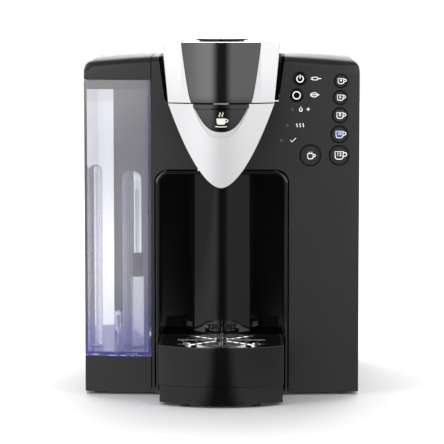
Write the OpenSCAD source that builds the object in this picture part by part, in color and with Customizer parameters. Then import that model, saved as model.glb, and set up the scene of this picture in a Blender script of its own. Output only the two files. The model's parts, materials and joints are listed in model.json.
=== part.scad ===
// Single-serve pod coffee machine, millimetres.
// X runs to the right seen from the front, the front faces -Y, Z is up.
// The origin is the bottom centre of the overall box.

/* [Casing] */
// Overall width over the tank and the body
width = 262; // [256:1:268]
// Overall depth from the drip tray's nose to the back
depth = 316; // [312:1:320]
// Height of the casing's crown at the centre line
crown_z = 325.5; // [324:0.5:327]
// How far the drip tray stands out in front of the casing
tray_reach = 72; // [70:1:73]
// Wall of the casing shells
wall = 2.4; // [2:0.1:2.6]

/* [Mug bay] */
// Clear width of the bay
bay_w = 119; // [117:1:119]
// Height of the bay's opening
bay_top = 212.5; // [210:0.5:213]

/* [Head] */
// Radius of the head's front in plan
nose_r = 95; // [92:1:98]
// Distance from the origin to the head's front
nose_y = -150; // [-151:0.5:-149]
// Height of the split between the lid and the lower shield
split_z = 282.6; // [282:0.1:283]
// Lowest point of the lower shield
tip_z = 205; // [203:1:207]

/* [Tank] */
// Height of the pedestal that the tank stands on
dock_top = 38; // [36:1:39]
// Wall of the clear tank
tank_wall = 2.6; // [2.2:0.1:3]

/* [Hidden] */
$fn = 96;

half_w = width / 2;
back_y = depth / 2;
front_y = -depth / 2 + tray_reach;
front_r = 1075;
crown_r = 1200;
top_slope_r = 2200;
body_x = -66.7;              // the body's left side, beside the tank
gap = 0.3;                   // running gap between separate mouldings
foot_h = 3;
seam_y = -60;                // front fascia meets the rear housing
seam_z = 316;                // top cover sits on the walls
far = 600;

// ---------- shared outlines ----------

// Rectangle with its own radius at each corner: front left, front right, back right, back left
module round_rect(x0, y0, x1, y1, r) {
    corners = [[x0, y0, 1, 1], [x1, y0, -1, 1], [x1, y1, -1, -1], [x0, y1, 1, -1]];
    difference() {
        translate([x0, y0]) square([x1 - x0, y1 - y0]);
        for (i = [0:3]) if (r[i] > 0)
            translate([corners[i][0], corners[i][1]] + [min(0, corners[i][2] * r[i]), min(0, corners[i][3] * r[i])])
                square(r[i]);
    }
    for (i = [0:3]) if (r[i] > 0)
        translate([corners[i][0] + corners[i][2] * r[i], corners[i][1] + corners[i][3] * r[i]]) circle(r[i]);
}

// Everything behind the shallow curve of the casing's front
module front_curve(inset) {
    translate([0, front_y + front_r]) circle(front_r - inset, $fn = 360);
}

// Body footprint, with the pillar that stands behind the tank
module body_plan(inset = 0) {
    intersection() {
        front_curve(inset);
        union() {
            round_rect(body_x + inset, front_y - 20, half_w - inset, back_y - inset, [0, 0, 12 - inset, 0]);
            round_rect(-113 + inset, 112 + inset, 0, back_y - inset, [0, 0, 0, 12 - inset]);
        }
    }
}

// Front view of the casing: crowned top and round shoulders
module casing_outline(inset = 0) {
    r = 7;
    intersection() {
        translate([0, crown_z - crown_r]) circle(crown_r - inset, $fn = 720);
        union() {
            translate([-half_w + r, 0]) square([width - 2 * r, far]);
            translate([-half_w + inset, 0]) square([width - 2 * inset, 312]);
            for (s = [-1, 1]) translate([s * (half_w - r), 312]) circle(r - inset);
        }
    }
}

// Space under the casing's crown, across and front to back
module under_crown(inset = 0) {
    intersection() {
        translate([0, far / 2, 0]) rotate([90, 0, 0]) linear_extrude(far) casing_outline(inset);
        translate([-far / 2, -60, crown_z - top_slope_r]) rotate([0, 90, 0])
            cylinder(r = top_slope_r - inset, h = far, $fn = 720);
    }
}

// The body's outer form between two heights
module body_form(z0, z1, inset = 0) {
    intersection() {
        translate([0, 0, z0]) linear_extrude(z1 - z0) body_plan(inset);
        under_crown(inset);
    }
}

// Half width of the V-shaped head at height z
function v_half(z, inset) = 49.2 * pow(max(0, z - tip_z) / (split_z - tip_z), 1 / 1.75) - inset;

// Front view of the lower head, drawn down to z0
module v_outline(z0, inset = 0, z1 = split_z) {
    steps = 18;
    zs = [for (i = [0:steps]) z0 + (z1 - z0) * pow(i / steps, 1.6)];
    right = [for (z = zs) if (v_half(z, inset) > 0) [v_half(z, inset), z]];
    left = [for (i = [len(right) - 1:-1:0]) [-right[i][0], right[i][1]]];
    polygon(concat(v_half(z0, inset) > 0 ? [] : [[0, z0]], right, left));
}

// Everything behind the head's curved front, in plan
module nose_plan(inset = 0, rear = 60) {
    intersection() {
        translate([0, nose_y + nose_r]) circle(nose_r - inset, $fn = 180);
        translate([-80, -200]) square([160, 200 + rear]);
    }
}

// Extrudes a front-view outline between two depths
module along_y(y0, y1) {
    translate([0, y1, 0]) rotate([90, 0, 0]) linear_extrude(y1 - y0) children();
}

module tube(r_out, r_in, h) {
    difference() {
        cylinder(r = r_out, h = h);
        translate([0, 0, -1]) cylinder(r = r_in, h = h + 2);
    }
}

// ---------- base ----------

module base_plate() color("dimgray") difference() {
    translate([0, 0, foot_h]) linear_extrude(3.8) union() {
        body_plan(wall + 0.6);
        tank_plan(wall + 0.6);
        translate([-80, -60]) square([40, 160]);
    }
    // room for the drip tray's stand and the front rails
    translate([-58.6, -200, 0]) cube([117.2, 157, 20]);
    translate([-63.4, -200, 0]) cube([126.8, 200 - 81, 20]);
    translate([-68, -200, 0]) cube([5.4, 200 + seam_y + gap, 20]);
}

foot_spots = [[-116, -66], [-116, 92], [116, -62], [116, 140], [-90, 140]];
module rubber_feet() color("black")
    for (p = foot_spots) translate([p[0], p[1], 0]) union() {
        cylinder(r1 = 7, r2 = 8, h = 1);
        translate([0, 0, 1]) cylinder(r = 8, h = foot_h - 1);
    }

// ---------- rear shells ----------

cover_x = [-96, 112];
cover_z = [22, 296];
module rear_housing() color("#2b292a") {
    difference() {
        body_form(foot_h, seam_z);
        intersection() {
            translate([0, 0, 0]) linear_extrude(far) intersection() {
                front_curve(wall);
                union() {
                    round_rect(body_x + wall, -far / 2, half_w - wall, back_y - wall, [0, 0, 9.6, 0]);
                    round_rect(-113 + wall, 112 + wall, 0, back_y - wall, [0, 0, 0, 9.6]);
                }
            }
            union() {
                translate([0, -far / 2, 0]) translate([-far / 2, 0, 0]) cube([far, far, 312]);
                under_crown(wall);
            }
        }
        translate([-far / 2, -far, -1]) cube([far, far + seam_y, far]);
        // the base plate passes under the wall beside the tank
        translate([-114, -70, 0]) cube([51, 186, foot_h + 4.1]);
        translate([-80, hose_y, hose_z]) rotate([0, 90, 0]) cylinder(r = 4.4, h = 30);
        translate([cover_x[0], back_y - 10, cover_z[0]])
            cube([cover_x[1] - cover_x[0], 20, cover_z[1] - cover_z[0]]);
    }
    // ledge that the rear cover screws to
    difference() {
        translate([cover_x[0] - 6, back_y - wall - 2.2, cover_z[0] - 6])
            cube([cover_x[1] - cover_x[0] + 12, 2.2, cover_z[1] - cover_z[0] + 12]);
        translate([cover_x[0] + 6, back_y - 20, cover_z[0] + 6])
            cube([cover_x[1] - cover_x[0] - 12, 40, cover_z[1] - cover_z[0] - 12]);
        for (p = screw_spots) translate([p[0], back_y - 20, p[1]])
            rotate([-90, 0, 0]) cylinder(r = 1.6, h = 40);
    }
}

screw_spots = [for (x = [cover_x[0] + 3.4, cover_x[1] - 3.4],
    z = [cover_z[0] + 3.4, 159, cover_z[1] - 3.4]) [x, z]];
gland_at = [84, 44];
module rear_cover() color("#242324") difference() {
    translate([cover_x[0] + gap, back_y - wall, cover_z[0] + gap])
        cube([cover_x[1] - cover_x[0] - 2 * gap, wall, cover_z[1] - cover_z[0] - 2 * gap]);
    for (p = screw_spots) translate([p[0], back_y, p[1]]) rotate([90, 0, 0]) {
        translate([0, 0, -5]) cylinder(r = 1.75, h = 40);
        translate([0, 0, -5]) cylinder(r = 3.1, h = 6.3);
    }
    // louvres
    for (i = [0:8]) translate([-50, back_y - 5, 226 + i * 6]) cube([116, 10, 2.4]);
    translate([gland_at[0], back_y - 20, gland_at[1]]) rotate([-90, 0, 0]) cylinder(r = 7.1, h = 40);
}

module cover_screws() color("silver")
    for (p = screw_spots) translate([p[0], back_y, p[1]]) rotate([90, 0, 0]) {
        difference() {
            cylinder(r = 3, h = 1.25);
            for (a = [0, 90]) rotate([0, 0, a]) translate([-1.8, -0.4, -1]) cube([3.6, 0.8, 1.7]);
        }
        translate([0, 0, 1.2]) cylinder(r = 1.5, h = 6);
    }

// ---------- front ----------

// Buttons: centre x, centre z, radius
power_key = [74.2, 303.3, 6.2];
saver_key = [71, 287.6, 6.2];
brew_key = [84.2, 230.5, 10];
cup_keys = [[113, 301, 6.4], [112.4, 285.3, 6.6], [112.2, 268.4, 7.2], [111.8, 250.3, 8], [111.6, 230.4, 9.3]];
all_keys = concat([power_key, saver_key, brew_key], cup_keys);
lens_spots = [[66.9, 274.2], [62.2, 259.1], [56.6, 244.8]];
function face_y(x) = front_y + front_r - sqrt(front_r * front_r - x * x);
stem_end = -74.4;
key_travel = 1.2;

// Slot in the casing that the lid's rear half lies in
module lid_slot(grow = 0, y1 = 38.3) along_y(-300, y1)
    polygon([[-54 - grow, split_z - 0.8 - grow], [54 + grow, split_z - 0.8 - grow], [62.2 + grow, 340],
             [-62.2 - grow, 340]]);

module bay_outline(grow, r) {
    x = bay_w / 2 + grow;
    z = bay_top + grow;
    round_rect(-x, -20, x, z, [0, 0, r, r]);
}

module front_fascia() color("#38363a") {
    difference() {
        body_form(foot_h, seam_z);
        translate([0, 0, -1]) linear_extrude(312) intersection() {
            front_curve(wall);
            translate([-63.5, -200]) square([128.6 + 63.5, 400]);
        }
        intersection() {
            under_crown(wall);
            translate([0, 0, 305]) linear_extrude(20) intersection() {
                front_curve(wall);
                translate([-63.5, -200]) square([far, 400]);
            }
        }
        translate([-far / 2, seam_y - gap, -1]) cube([far, far, far]);
        along_y(-200, 0) bay_outline(4.7, 12.8);
        along_y(-200, 0) intersection() {
            v_outline(tip_z, 4);
            translate([-60, 226]) square([120, 80]);
        }
        lid_slot();
        for (k = all_keys) translate([k[0], -120, k[1]]) rotate([-90, 0, 0]) cylinder(r = k[2] + 0.55, h = 60);
        for (p = lens_spots) translate([p[0], -120, p[1]]) rotate([-90, 0, 0]) cylinder(r = 1.5, h = 60);
    }
    // side walls of the lid's slot
    intersection() {
        difference() {
            lid_slot(1.5, seam_y - gap);
            lid_slot(0, 0);
        }
        body_form(split_z - 0.8, seam_z, 1);
        translate([-100, -200, 0]) cube([200, 200 + seam_y - gap, far]);
    }
    // rails that the control board slides into
    translate([124.4, -77, 226]) cube([1.6, 14, 82]);
    for (z = [[224, 15], [297, 12]]) translate([63, -82, z[0]]) cube([1.6, 14, z[1]]);
}

module lens(p) translate([p[0], face_y(p[0]) - 0.2, p[1]]) rotate([-90, 0, 0]) union() {
    cylinder(r = 1.4, h = 3.2);
    translate([0, 0, 3.0]) cylinder(r = 2.2, h = 1.4);
}
module indicator_lenses() color("lightgray") for (p = lens_spots) lens(p);

module key(k) color("#1b1a1c") translate([k[0], 0, k[1]]) rotate([-90, 0, 0]) {
    y = face_y(k[0] - 0.6 * k[2]) - 0.2;
    translate([0, 0, y]) cylinder(r = k[2], h = 4.2);
    translate([0, 0, y + 4.1]) cylinder(r = 2.6, h = stem_end - y - 4.1);
}
module power_button() key(power_key);
module saver_button() key(saver_key);
module brew_button() key(brew_key);
module cup_button_1() key(cup_keys[0]);
module cup_button_2() key(cup_keys[1]);
module cup_button_3() key(cup_keys[2]);
module cup_button_4() key(cup_keys[3]);
module cup_button_5() key(cup_keys[4]);

module tact_switches() color("silver") for (k = all_keys)
    translate([k[0] - 3, stem_end + key_travel + 0.2, k[1] - 3]) cube([6, 3.2, 6]);

module control_board() color("darkgreen")
    translate([64.7, stem_end + key_travel + 3.4, 223]) cube([59.6, 1.6, 89]);

// ---------- top ----------

module top_cover() color("#2d2b2d") difference() {
    body_form(seam_z, 340);
    intersection() {
        translate([0, 0, 200]) linear_extrude(200) intersection() {
            front_curve(wall);
            union() {
                round_rect(-63.1, -far / 2, half_w - wall, back_y - wall, [0, 0, 9.6, 0]);
                round_rect(-113 + wall, 112 + wall, 0, back_y - wall, [0, 0, 0, 9.6]);
            }
        }
        under_crown(wall);
    }
    lid_slot();
}

// ---------- mug bay ----------

module cavity_liner() color("#141314") {
    // bezel round the opening
    difference() {
        along_y(front_y - 0.6, -81.6) bay_outline(3.5, 12);
        along_y(-200, 0) bay_outline(0, 9);
        translate([-100, -200, -100]) cube([200, 400, 100 + foot_h]);
    }
    // side walls, ceiling and back
    difference() {
        along_y(-81.7, -42) bay_outline(2.2, 10.5);
        along_y(-200, -44.2) bay_outline(0, 9);
        translate([-100, -200, -100]) cube([200, 400, 100 + foot_h + 4]);
    }
    // ledge behind the tray, either side of the column
    for (s = [-1, 1]) translate([s * 46.5 - 13.2, -68, 50]) cube([26.4, 24, 3]);
}

column_r = 60;
module brew_column() color("#1d1c1f") difference() {
    intersection() {
        along_y(-80, -44.4) polygon([[-27, 7.2], [27, 7.2], [32.4, bay_top - 0.4], [-32.4, bay_top - 0.4]]);
        linear_extrude(far) translate([0, -66 + column_r]) circle(column_r);
    }
    translate([-22, -60, 12]) cube([44, 30, 190]);
}

// ---------- drip tray ----------

tray_r = 99;
grate_y = -112.5;
module tray_plan(inset = 0) intersection() {
    translate([0, -depth / 2 + tray_r]) circle(tray_r - inset, $fn = 180);
    translate([-58.6 + inset, -170]) square([117.2 - 2 * inset, 170 - 68.6 - inset]);
}

tray_z = [19.6, 57];
module drip_tray() color("#2a282a") difference() {
    translate([0, 0, tray_z[0]]) linear_extrude(tray_z[1] - tray_z[0]) tray_plan();
    translate([0, 0, tray_z[0] + 2.4]) linear_extrude(60) tray_plan(2.4);
}

module tray_cover() color("#161516") {
    difference() {
        translate([0, 0, 53.4]) linear_extrude(2.4) tray_plan(2.7);
        translate([0, grate_y, 50]) cylinder(r = 35, h = 20);
    }
    // legs that stand on the tray's floor
    for (s = [-1, 1], y = [-138, -78]) translate([s * 46, y, tray_z[0] + 2.4])
        cylinder(r = 2.5, h = 53.5 - tray_z[0] - 2.4);
}

rod = 1.3;
module cup_grate() color("silver") translate([0, grate_y, 56 + rod]) {
    for (r = [8, 17, 26, 35]) rotate_extrude() translate([r - rod, -rod]) square([2 * rod, 1.9]);
    for (a = [0:45:315]) rotate([0, 0, a]) translate([8, 0, 0])
        rotate([0, 90, 0]) cylinder(r = rod + 0.2, h = 33);
}

module tray_stand() color("#272527") {
    difference() {
        translate([0, 0, foot_h]) linear_extrude(tray_z[0] - foot_h - 0.2) intersection() {
            tray_plan(0.6);
            translate([-57.8, -200]) square([115.6, 400]);
        }
        translate([0, 0, 0]) linear_extrude(tray_z[0] - 3) tray_plan(4.6);
    }
    translate([0, 0, 1.5]) linear_extrude(foot_h - 1.4) tray_plan(8);
    translate([-57.4, -70, foot_h]) cube([114.8, 27, 4]);
}

module tray_feet() color("black") for (x = [-33, 33], y = [-143, -84])
    translate([x, y, 0]) cylinder(r = 4.5, h = 1.5);

// ---------- head ----------

pod_y = -111;
module head_shield() color("silver") {
    difference() {
        intersection() {
            along_y(-200, -116) v_outline(tip_z);
            linear_extrude(far) nose_plan(0);
        }
        intersection() {
            along_y(-200, -100) v_outline(tip_z + 4.8, 3, split_z + 4);
            linear_extrude(far) nose_plan(3.2);
        }
        along_y(-200, -120) union() {
            button_outline(2.3, 5.8);
            translate([-25.9, 279.9]) square([51.8, 10]);
        }
    }
    // sunk rim round the button
    intersection() {
        along_y(-200, -120) difference() {
            button_outline(2.4, 5.9);
            button_outline(0.6);
            translate([-30, 278.2]) square([60, 10]);
        }
        linear_extrude(far) difference() {
            nose_plan(1.7);
            nose_plan(3.2);
        }
    }
}

// Rounded V of the release button, seen from the front
module button_outline(grow, below = 0) {
    w = 23.6 + grow;
    h = 20.5 + grow + max(grow, below);
    steps = 15;
    polygon([for (i = [-steps:steps]) let (t = i / steps)
        [w * t, 277.7 + grow - h * (1 - pow(abs(t), 2.5))]]);
}

module release_button() color("#1a191b") intersection() {
    along_y(-200, -100) button_outline(0);
    linear_extrude(far) difference() {
        nose_plan(0.7);
        nose_plan(3.4);
    }
}

module release_springs() color("silver") for (x = [-12, 12])
    translate([x, -138.7, 268]) rotate([90, 0, 0]) tube(2.6, 2, 4.3);

module head_housing() color("#1c1b1d") difference() {
    union() {
        // nose behind the shield
        intersection() {
            along_y(-200, front_y - 1.3) v_outline(tip_z, 3.4, split_z - 1.6);
            linear_extrude(far) nose_plan(3.6);
            translate([-100, -200, 214]) cube([200, 300, 100]);
        }
        // ledge above the release button
        intersection() {
            along_y(-200, -120) translate([-25.6, 278.5]) square([51.2, 3.6]);
            linear_extrude(far) difference() {
                nose_plan(0.9);
                nose_plan(5);
            }
        }
        // neck that passes through the fascia to the inner frame
        intersection() {
            along_y(front_y - 1.4, -42) v_outline(tip_z, 4.6, split_z - 1.6);
            translate([-100, -200, 227]) cube([200, 300, 100]);
        }
    }
    translate([0, pod_y, 262]) cylinder(r = 29.3, h = 60);
    translate([0, pod_y, 236]) cylinder(r = 24, h = 60);
    translate([0, pod_y, 200]) cylinder(r = 9.5, h = 60);
    // pocket that the release button travels in
    intersection() {
        along_y(-160, -130) button_outline(0.7);
        linear_extrude(far) difference() {
            nose_plan(0);
            nose_plan(5.8);
        }
    }
    for (x = [-12, 12]) translate([x, -137.6, 268]) rotate([90, 0, 0]) cylinder(r = 3, h = 12);
    // slot for the lid's catch
    translate([-9, -148, 274]) cube([18, 7.6, 20]);
    // hollow neck
    translate([-22, -78, 234]) cube([44, 60, 60]);
}

module head_collar() color("#0f0e10") difference() {
    intersection() {
        difference() {
            lid_slot(-0.3, 38);
            along_y(-300, 35) polygon([[-51.4, split_z + 0.1], [51.4, split_z + 0.1], [58.8, 340], [-58.8, 340]]);
        }
        union() {
            body_form(200, 340, 0.2);
            translate([-70, -60, 200]) cube([140, 98, 117]);
        }
        translate([-80, -70, 200]) cube([160, 200, 200]);
    }
    // clear of the pod bore and the lower head
    translate([-70, -200, 270]) cube([140, 159, split_z + 0.2 - 270]);
    // seats for the hinge pin
    translate([-70, hinge_y, hinge_z]) rotate([0, 90, 0]) cylinder(r = 2.5, h = 140);
}

module pod_holder() color("#19181a") difference() {
    union() {
        translate([0, pod_y, 236.4]) cylinder(r = 23.6, h = 26);
        translate([0, pod_y, 262.3]) cylinder(r = 28.9, h = split_z - 1.4 - 262.3);
        translate([0, pod_y, split_z - 1.5]) cylinder(r = 30.4, h = 1.3);
    }
    translate([0, pod_y, 240]) cylinder(r1 = 19.5, r2 = 25.4, h = 60);
    translate([0, pod_y, 230]) cylinder(r = 6, h = 20);
}

module exit_needle() color("silver") translate([0, pod_y, 238]) {
    difference() {
        union() {
            cylinder(r = 6, h = 2);
            cylinder(r = 1.6, h = 8);
            translate([0, 0, 7.9]) cylinder(r1 = 1.6, r2 = 0.2, h = 3.2);
        }
        translate([0, 0, -1]) cylinder(r = 0.8, h = 9);
    }
}

module brew_funnel() color("#111012") translate([0, pod_y, 210.4]) difference() {
    union() {
        cylinder(r = 6.6, h = 6);
        translate([0, 0, 5.9]) cylinder(r = 9.3, h = 20);
    }
    translate([0, 0, -1]) cylinder(r = 4.2, h = 60);
}

// ---------- lid ----------

hinge_y = 24;
hinge_z = 318;
lid_z = [split_z + 1.1, 339.8];
function panel_half(z) = 27.6 + 9.2 * pow(max(0, min(1, (z - split_z) / 54)), 0.72);

// The lid's closed outer form
module lid_form(inset = 0) intersection() {
    along_y(-200, 100) difference() {
        round_rect(-54.3 + inset, 200, 54.3 - inset, lid_z[1] - inset, [0, 0, 4 - inset, 4 - inset]);
        for (s = [-1, 1]) scale([s, 1, 1])
            polygon([[49.2 - inset, 0], [49.2 - inset, lid_z[0]], [54.3 - inset, 336], [90, 336], [90, 0]]);
    }
    linear_extrude(far) intersection() {
        translate([0, nose_y + nose_r]) circle(nose_r - inset, $fn = 180);
        round_rect(-60, -200, 60, 16 - inset, [0, 0, 16, 16]);
    }
    translate([-80, -300, lid_z[0] + (inset > 0 ? -5 : 0)]) cube([160, 500, 100]);
    // the top falls a little to the rear
    translate([-80, -140, lid_z[1] - 4500]) rotate([0, 90, 0]) cylinder(r = 4500 - inset, h = 160, $fn = 720);
}

// Front view of the lid's middle strip
module strip_outline(shrink) {
    steps = 10;
    zs = [for (i = [0:steps]) split_z + (337 - split_z) * i / steps];
    right = [for (z = zs) [panel_half(z) - shrink, z]];
    left = [for (i = [steps:-1:0]) [-right[i][0], right[i][1]]];
    polygon(concat([[27.6 - shrink, 270]], right, [[36.8 - shrink, 360], [-36.8 + shrink, 360]], left,
                   [[-27.6 + shrink, 270]]));
}

module lid_trim(side) color("silver") difference() {
    lid_form(0);
    lid_form(2.5);
    along_y(-300, 100) strip_outline(0);
    translate([side > 0 ? -200 : 0, -300, 0]) cube([200, 600, 600]);
    translate([side * 40 - 3.4, 8, hinge_z - 6.4]) cube([6.8, 20, 8.8]);
}
module lid_trim_left() lid_trim(-1);
module lid_trim_right() lid_trim(1);

cap_y = -82;
module lid_panel() color("#3a383b") difference() {
    intersection() {
        lid_form(0.5);
        along_y(-300, 100) strip_outline(0.25);
        translate([-80, -300, lid_z[0]]) cube([160, 500, 100]);
    }
    lid_form(2.8);
    translate([0, cap_y, 300]) cylinder(r = 22, h = 60);
}

module lid_cap() color("#1a1a1c") translate([0, cap_y, 0]) {
    translate([0, 0, 339.6]) cylinder(r1 = 26.5, r2 = 25.5, h = 1.9);
    translate([0, 0, 341.4]) cylinder(r1 = 25.5, r2 = 15, h = 2.6);
    translate([0, 0, 336]) cylinder(r = 21.7, h = 3.7);
}

motor_y = pod_y + 18;
module lid_frame() color("#151416") {
    difference() {
        union() {
            intersection() {
                lid_form(3.1);
                translate([-80, -300, lid_z[0] + 0.1]) cube([160, 500, 3]);
            }
            translate([0, pod_y, lid_z[0] + 0.1]) cylinder(r = 9, h = 8);
            // bridge that carries the motor
            translate([-20, motor_y - 15, 309]) cube([40, 34, 2.4]);
            for (s = [-1, 1]) translate([s * 18.4 - 1.6, motor_y - 15, lid_z[0] + 3])
                cube([3.2, 34, 309.2 - lid_z[0] - 3]);
            // arms that reach back to the hinge
            for (s = [-1, 1]) {
                translate([s * 40 - 3, -14, lid_z[0] + 0.2]) cube([6, 26, 30]);
                translate([s * 40 - 3, hinge_y, hinge_z]) rotate([0, 90, 0]) cylinder(r = 6, h = 6);
                translate([s * 40 - 3, -2, hinge_z - 6]) cube([6, 26, 8]);
            }
        }
        translate([-70, hinge_y, hinge_z]) rotate([0, 90, 0]) cylinder(r = 2.55, h = 140);
        translate([0, pod_y, 200]) cylinder(r = 5.06, h = 104);
        translate([0, motor_y, 306]) cylinder(r = 2.2, h = 20);
    }
}

module lid_hinge_pin() color("silver")
    translate([-54.4, hinge_y, hinge_z]) rotate([0, 90, 0]) cylinder(r = 2.5, h = 108.8);

module lid_catch() color("silver") {
    translate([-7, -143.3, 279]) cube([14, 1.4, lid_z[0] + 0.1 - 279]);
    translate([-7, -143.3, 279]) cube([14, 2.2, 1.2]);
}

module pod_gasket() color("#5a2c24") translate([0, pod_y, lid_z[0] - 0.4])
    tube(24, 20, 0.5);

// Spur gear with straight-sided teeth on module 1
module gear(teeth, h, bore) {
    pitch = teeth / 2;
    difference() {
        union() {
            cylinder(r = pitch - 1.15, h = h);
            linear_extrude(h) for (i = [0:teeth - 1]) rotate(i * 360 / teeth)
                polygon([[pitch - 1.4, -0.95], [pitch, -0.66], [pitch + 0.85, -0.3], [pitch + 0.85, 0.3],
                         [pitch, 0.66], [pitch - 1.4, 0.95]]);
        }
        translate([0, 0, -1]) cylinder(r = bore, h = h + 2);
    }
}

gear_z = 296;
module needle_gear() color("ivory") translate([0, pod_y, gear_z]) gear(24, 5, 3);
module motor_pinion() color("ivory") translate([0, motor_y, gear_z]) rotate([0, 0, -75]) {
    gear(12, 5, 1.5);
    cylinder(r = 1.5, h = 25);
}

module spin_motor() color("gray") translate([0, motor_y, 311.4]) difference() {
    cylinder(r = 12, h = 18);
    translate([0, 0, -1]) cylinder(r = 1.56, h = 12);
}

module brew_needle() color("silver") translate([0, pod_y, 0]) {
    difference() {
        union() {
            translate([0, 0, 284]) cylinder(r = 5, h = gear_z - 284);
            translate([0, 0, 270]) cylinder(r = 1.9, h = 38);
            translate([0, 0, gear_z - 0.1]) cylinder(r = 3, h = 5.1);
            translate([0, 0, 266]) cylinder(r1 = 0.2, r2 = 1.9, h = 4.01);
        }
        translate([0, 0, 272]) cylinder(r = 0.9, h = 60);
    }
}

// ---------- tank ----------

tank_x = [-half_w, -67.5];
tank_y1 = 107;
tank_top = 302;
valve_at = [-100, 30];
hose_y = 30;
hose_z = 20;
float_at = [-81.5, -56];
module tank_plan(inset = 0) intersection() {
    front_curve(inset);
    round_rect(tank_x[0] + inset, front_y - 30, tank_x[1] - inset, tank_y1 - inset, [0, 0, 6 - inset, 10 - inset]);
}

module tank_dock() color("#2b292a") difference() {
    translate([0, 0, foot_h]) linear_extrude(dock_top - foot_h) tank_plan();
    translate([0, 0, 0]) linear_extrude(dock_top - wall) tank_plan(wall);
    translate([-75, -77, 0]) cube([20, 300, foot_h + 4.1]);
    translate([valve_at[0], valve_at[1], 0]) cylinder(r = 9, h = 60);
    translate([-80, hose_y, hose_z]) rotate([0, 90, 0]) cylinder(r = 4.4, h = 30);
    // recess that the tank's foot drops into
    translate([0, 0, dock_top - 1]) linear_extrude(10) tank_plan(5);
}

module dock_seal() color("#7a3a30") translate([valve_at[0], valve_at[1], dock_top - wall - 2]) difference() {
    union() {
        translate([0, 0, 0.1]) cylinder(r = 11, h = 1.9);
        cylinder(r = 8.9, h = 3.2);
    }
    translate([0, 0, -1]) cylinder(r = 7.2, h = 10);
}

module tank() color("#b9bbe0", 0.35) difference() {
    union() {
        difference() {
            translate([0, 0, dock_top + gap]) linear_extrude(tank_top - dock_top - gap) tank_plan();
            translate([0, 0, dock_top + gap + 3]) linear_extrude(far) tank_plan(tank_wall);
        }
        // two clear columns moulded up from the floor
        for (c = [[-122.4, -46, 6.6, 219], [-87.3, -40, 9.2, 213]]) translate([c[0], c[1], dock_top + gap + 2]) {
            cylinder(r = c[2], h = c[3] - c[2] - dock_top - gap - 2);
            translate([0, 0, c[3] - c[2] - dock_top - gap - 2]) sphere(c[2]);
        }
    }
    translate([valve_at[0], valve_at[1], 0]) cylinder(r = 6.6, h = 60);
}

module float_guide() color("#c8c9e6", 0.5) translate([float_at[0], float_at[1], dock_top + gap + 3]) {
    cylinder(r = 6.2, h = 111.8 - dock_top - gap - 3);
    cylinder(r = 1.8, h = 196 - dock_top - gap - 3);
}

module tank_float() color("#4a4a52") translate([float_at[0], float_at[1], 112]) tube(5.6, 2.2, 22);

module outlet_valve() color("#d8d8e4", 0.7) translate([valve_at[0], valve_at[1], 0]) {
    difference() {
        union() {
            translate([0, 0, 31]) cylinder(r = 6.5, h = 16);
            translate([0, 0, dock_top + gap + 3]) cylinder(r = 8.4, h = 3);
            translate([0, 0, 44]) tube(8.4, 6, 22);
        }
        translate([0, 0, 30]) cylinder(r = 4.6, h = 60);
        for (a = [0:45:315]) rotate([0, 0, a]) translate([5, -1, 50]) cube([5, 2, 12]);
    }
    // bridge at the foot of the nipple
    difference() {
        translate([0, 0, 31]) cylinder(r = 4.7, h = 2);
        for (a = [0:120:240]) rotate([0, 0, a]) translate([3, 0, 30]) cylinder(r = 1.2, h = 5);
    }
}

module valve_spring() color("silver") translate([valve_at[0], valve_at[1], 33]) tube(4, 3.2, 20);

module tank_lid() color("#2d2b2d") {
    difference() {
        intersection() {
            translate([0, 0, tank_top + gap]) linear_extrude(60) tank_plan();
            under_crown();
        }
        intersection() {
            translate([0, 0, 250]) linear_extrude(80) tank_plan(wall);
            under_crown(wall);
        }
    }
    // skirt that drops inside the tank
    difference() {
        translate([0, 0, 293]) linear_extrude(13) tank_plan(tank_wall + 0.4);
        translate([0, 0, 280]) linear_extrude(40) tank_plan(tank_wall + 2);
    }
    translate([0, 0, 303]) linear_extrude(2) tank_plan(wall - 0.1);
}

// ---------- inside ----------

module boiler() color("silver") translate([34, 66, 150]) difference() {
    union() {
        cylinder(r = 40, h = 84);
        translate([0, 0, 83.9]) cylinder(r1 = 40, r2 = 30, h = 8);
        translate([0, 0, 91.8]) cylinder(r = 5.6, h = 12);
    }
    translate([0, 0, 1.5]) cylinder(r = 38.5, h = 82);
    translate([0, 0, 80]) cylinder(r = 3.6, h = 40);
}

module boiler_bracket() color("gray") difference() {
    union() {
        translate([-12, 22, 146]) cube([92, 88, 3.9]);
        for (x = [-12, 76]) translate([x, 22, 6.9]) cube([4, 88, 139.2]);
    }
    translate([-20, 66, 40]) rotate([0, 90, 0]) cylinder(r = 4.4, h = 20);
}

module water_pump() color("#555") translate([10, 66, 40]) rotate([0, 90, 0]) {
    cylinder(r = 20, h = 36);
    translate([0, 0, 35.9]) cylinder(r = 16, h = 22);
    translate([0, 0, -8]) cylinder(r = 4, h = 8.1);
}

module pump_bracket() color("gray") difference() {
    translate([14, 44, 6.9]) cube([28, 44, 40]);
    translate([0, 66, 40]) rotate([0, 90, 0]) cylinder(r = 20.1, h = 80);
}

// One straight run of hose from a point, along the axis given by its turn
module hose(from, turn, long) translate(from) rotate(turn) cylinder(r = 3.5, h = long, $fn = 32);

// Square elbow fitting
module elbow(at) translate(at - [4.6, 4.6, 4.6]) cube(9.2);

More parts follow.
